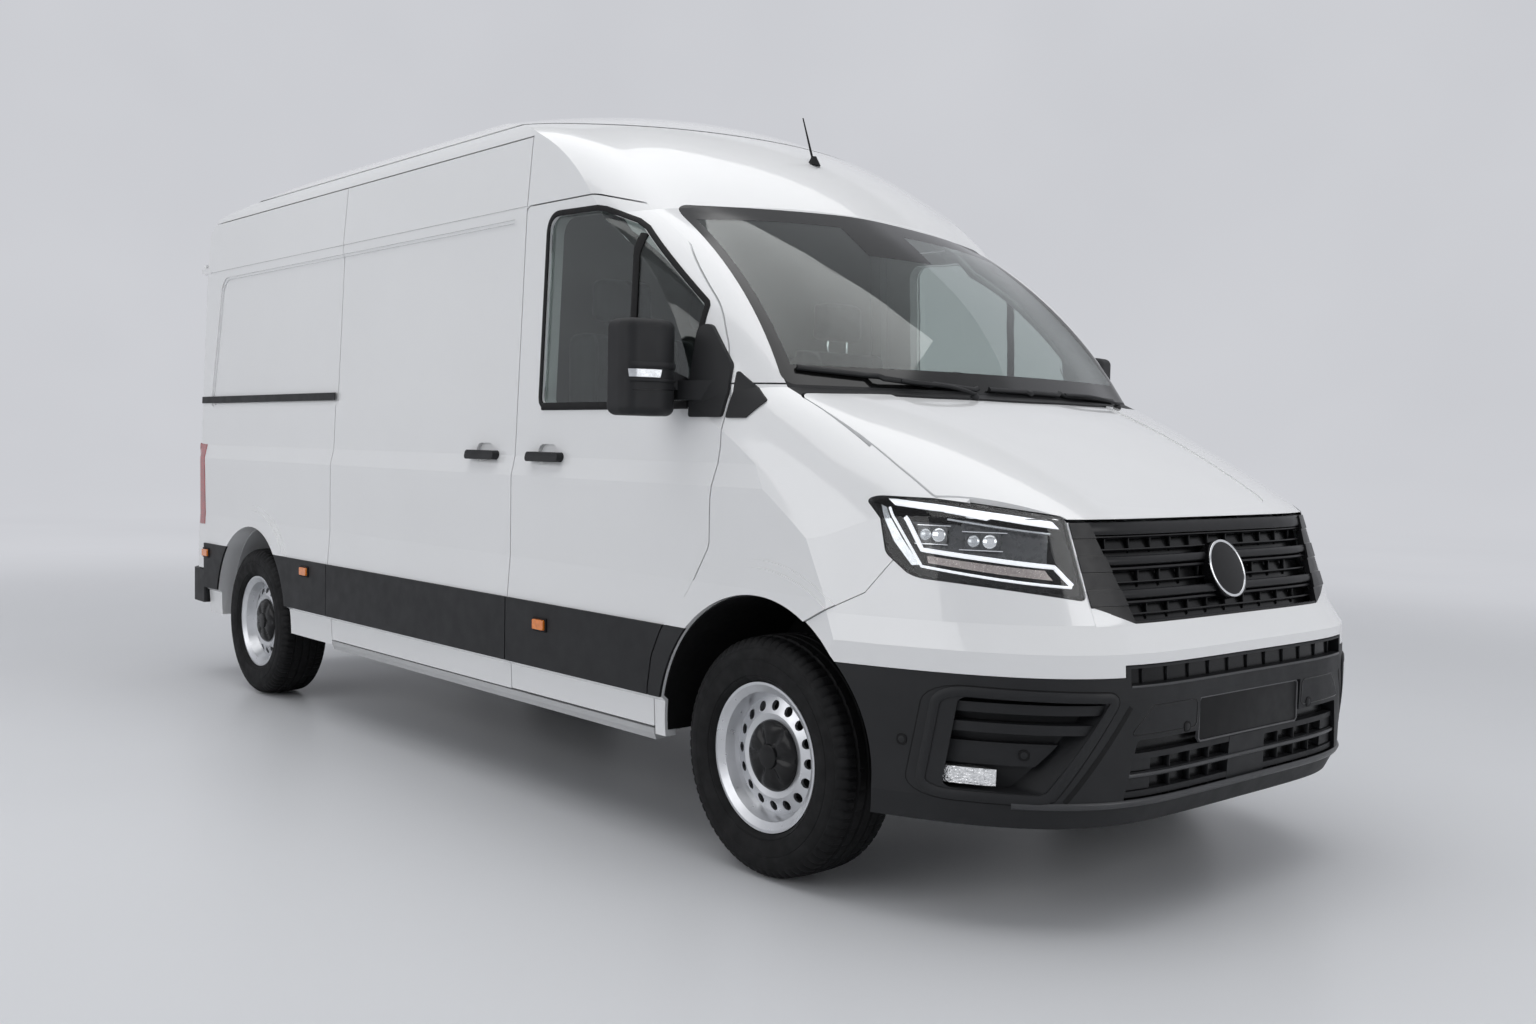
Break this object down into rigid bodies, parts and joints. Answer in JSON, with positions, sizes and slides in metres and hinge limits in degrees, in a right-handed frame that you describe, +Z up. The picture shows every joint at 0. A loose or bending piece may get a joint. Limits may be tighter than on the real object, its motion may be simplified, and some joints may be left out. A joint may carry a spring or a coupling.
{
  "type": "panel van",
  "caption": "High-roof panel van with hinged front doors, full-height rear doors, bonnet, steered front wheels and rolling rear wheels, with a hollow cab and load bay.",
  "frame": {"origin": "on the ground below the middle of the vehicle's box", "axes": "+X forward, +Y to the left side, +Z up"},
  "size_m": [5.6802, 2.426, 2.5881],
  "materials": {
    "body_paint": "gloss white enamel",
    "dark_plastic": "grained dark grey",
    "grille_black": "semi-gloss black",
    "window_glass": "lightly tinted",
    "lamp_lens": "clear",
    "lamp_bowl": "bright",
    "red_lens": "red lens",
    "tyre_rubber": "matt",
    "rim_silver": "silver lacquer",
    "running_gear": "black coated",
    "engine_alloy": "cast",
    "exhaust_steel": "dull",
    "tank_plastic": "moulded black",
    "structure": "primer and body colour",
    "dash_plastic": "soft grain",
    "seat_fabric": "woven"
  },
  "bodies": {
    "root": {"roof": "body_paint", "side_left": "body_paint", "quarter_right": "body_paint", "sliding_door": "body_paint", "fender_left": "body_paint", "fender_right": "body_paint", "bumper_upper": "body_paint", "cowl": "dark_plastic", "bumper_lower": "dark_plastic", "body_trim": "dark_plastic", "rear_bumper": "dark_plastic", "wheel_liners": "dark_plastic", "wipers": "dark_plastic", "antenna": "dark_plastic", "grille": "grille_black", "windscreen": "window_glass", "headlamp_lenses": "lamp_lens", "fog_lamps": "lamp_lens", "headlamps": "lamp_bowl", "rear_lamps": "red_lens", "brake_lamp": "red_lens", "subframe": "running_gear", "rear_axle": "running_gear", "engine": "engine_alloy", "exhaust": "exhaust_steel", "fuel_tank": "tank_plastic", "floor": "structure", "side_frames": "structure", "chassis": "structure", "front_frame": "structure", "partition": "structure", "dashboard": "dash_plastic", "seat_driver": "seat_fabric", "seat_bench": "seat_fabric"},
    "front_door_left": {"door_front_left": "body_paint", "door_glass_left": "window_glass", "door_trim_left": "dark_plastic", "mirror_left": "dark_plastic"},
    "front_door_right": {"door_front_right": "body_paint", "door_glass_right": "window_glass", "door_trim_right": "dark_plastic", "mirror_right": "dark_plastic"},
    "rear_leaf_left": {"rear_door_left": "body_paint"},
    "rear_leaf_right": {"rear_door_right": "body_paint"},
    "hood": {"bonnet": "body_paint"},
    "steering": {"steering_wheel": "dash_plastic"},
    "carrier_left": {"knuckle_left": "running_gear"},
    "carrier_right": {"knuckle_right": "running_gear"},
    "wheel_front_left": {"tyre_front_left": "tyre_rubber", "rim_front_left": "rim_silver"},
    "wheel_front_right": {"tyre_front_right": "tyre_rubber", "rim_front_right": "rim_silver"},
    "wheel_rear_left": {"tyre_rear_left": "tyre_rubber", "rim_rear_left": "rim_silver"},
    "wheel_rear_right": {"tyre_rear_right": "tyre_rubber", "rim_rear_right": "rim_silver"}
  },
  "joints": [
    {"name": "front_door_left_hinge", "type": "hinge", "parent": "root", "child": "front_door_left", "pos_m": [1.6395, 1.025, 1], "axis": [0, 0, -1], "range_deg": [0, 65]},
    {"name": "front_door_right_hinge", "type": "hinge", "parent": "root", "child": "front_door_right", "pos_m": [1.6395, -1.025, 1], "axis": [0, 0, 1], "range_deg": [0, 65]},
    {"name": "rear_door_left_hinge", "type": "hinge", "parent": "root", "child": "rear_leaf_left", "pos_m": [-2.81, 0.915, 1.4], "axis": [0, 0, -1], "range_deg": [0, 180]},
    {"name": "rear_door_right_hinge", "type": "hinge", "parent": "root", "child": "rear_leaf_right", "pos_m": [-2.81, -0.915, 1.4], "axis": [0, 0, 1], "range_deg": [0, 180]},
    {"name": "hood_hinge", "type": "hinge", "parent": "root", "child": "hood", "pos_m": [1.842, 0, 1.452], "axis": [0, -1, 0], "range_deg": [0, 50]},
    {"name": "steer_left", "type": "hinge", "parent": "root", "child": "carrier_left", "pos_m": [1.84, 0.806, 0.356], "axis": [0, 0, 1], "range_deg": [-35, 35]},
    {"name": "steer_right", "type": "hinge", "parent": "root", "child": "carrier_right", "pos_m": [1.84, -0.806, 0.356], "axis": [0, 0, 1], "range_deg": [-35, 35]},
    {"name": "steering_wheel_turn", "type": "hinge", "parent": "root", "child": "steering", "pos_m": [1.159, 0.48, 1.41], "axis": [-0.766, 0, 0.6428], "range_deg": [-525, 525]},
    {"name": "roll_front_left", "type": "hinge", "parent": "carrier_left", "child": "wheel_front_left", "pos_m": [1.84, 0.87, 0.356], "axis": [0, 1, 0], "continuous": true},
    {"name": "roll_front_right", "type": "hinge", "parent": "carrier_right", "child": "wheel_front_right", "pos_m": [1.84, -0.87, 0.356], "axis": [0, 1, 0], "continuous": true},
    {"name": "roll_rear_left", "type": "hinge", "parent": "root", "child": "wheel_rear_left", "pos_m": [-1.94, 0.875, 0.356], "axis": [0, 1, 0], "continuous": true},
    {"name": "roll_rear_right", "type": "hinge", "parent": "root", "child": "wheel_rear_right", "pos_m": [-1.94, -0.875, 0.356], "axis": [0, 1, 0], "continuous": true}
  ],
  "couplings": [
    {"joint": "steer_right", "follows": "steer_left", "ratio": 1},
    {"joint": "steering_wheel_turn", "follows": "steer_left", "ratio": 15}
  ]
}
